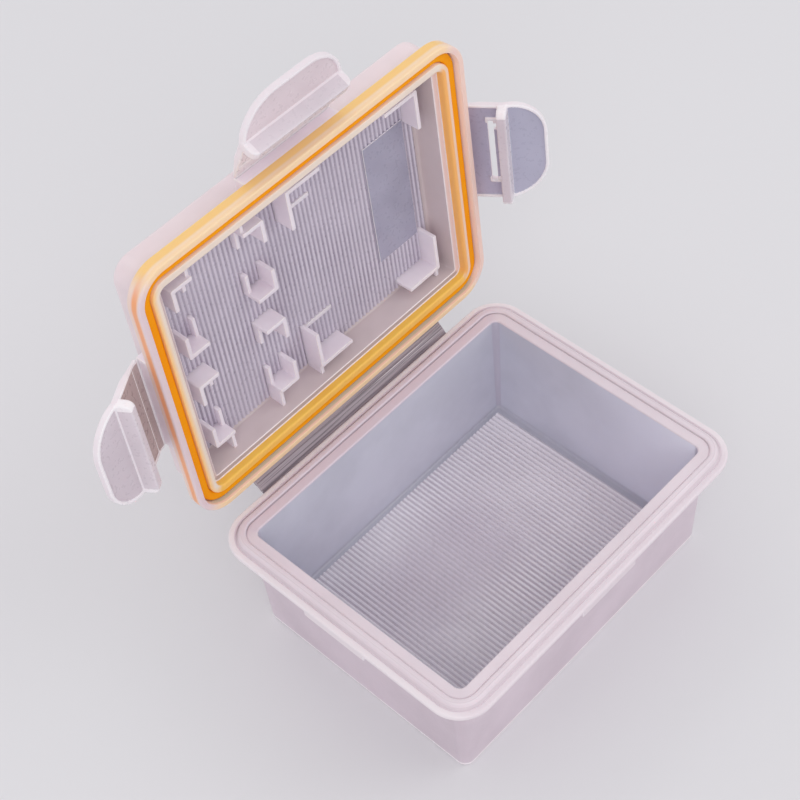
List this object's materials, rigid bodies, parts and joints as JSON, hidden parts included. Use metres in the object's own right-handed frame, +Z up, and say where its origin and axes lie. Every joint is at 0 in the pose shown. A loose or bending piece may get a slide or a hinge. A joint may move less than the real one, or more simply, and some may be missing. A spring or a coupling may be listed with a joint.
{
  "type": "battery case",
  "caption": "Small snap-shut box of translucent plastic for a camera battery, with a seal ring, hook latches and card pockets in its film-hinged lid.",
  "frame": {"origin": "centre of the flat underside of the box", "axes": "+Z up out of the box's opening, X along the hinge, +Y towards the hinge side"},
  "size_m": [0.0832, 0.0588, 0.0838],
  "materials": {
    "shell_plastic": "satin, milky translucent",
    "strap_plastic": "smooth, clearer than the shells",
    "seal_rubber": "satin silicone"
  },
  "bodies": {
    "base": {"base_shell": "shell_plastic"},
    "strap": {"hinge_strap": "strap_plastic"},
    "lid": {"lid_shell": "shell_plastic", "seal_gasket": "seal_rubber"},
    "front_latch": {"latch_front": "shell_plastic"},
    "left_latch": {"latch_left": "shell_plastic"},
    "right_latch": {"latch_right": "shell_plastic"}
  },
  "joints": [
    {"name": "hinge_base_film", "type": "hinge", "parent": "base", "child": "strap", "pos_m": [0, 0.0244, 0.02045], "axis": [-1, 0, 0], "range_deg": [-46.75, 43.25]},
    {"name": "hinge_lid_film", "type": "hinge", "parent": "strap", "child": "lid", "pos_m": [0, 0.02666, 0.02257], "axis": [-1, 0, 0], "range_deg": [-46.75, 43.25]},
    {"name": "latch_front_film", "type": "hinge", "parent": "lid", "child": "front_latch", "pos_m": [0, 0.03157, 0.07096], "axis": [-1, 0, 0], "range_deg": [-61, 109]},
    {"name": "latch_left_film", "type": "hinge", "parent": "lid", "child": "left_latch", "pos_m": [-0.0307, 0.03009, 0.04681], "axis": [0, -0.061, -0.9981], "range_deg": [-58, 112]},
    {"name": "latch_right_film", "type": "hinge", "parent": "lid", "child": "right_latch", "pos_m": [0.0307, 0.03009, 0.04681], "axis": [0, 0.061, 0.9981], "range_deg": [-33, 137]}
  ],
  "couplings": [
    {"joint": "hinge_lid_film", "follows": "hinge_base_film", "ratio": 1}
  ]
}
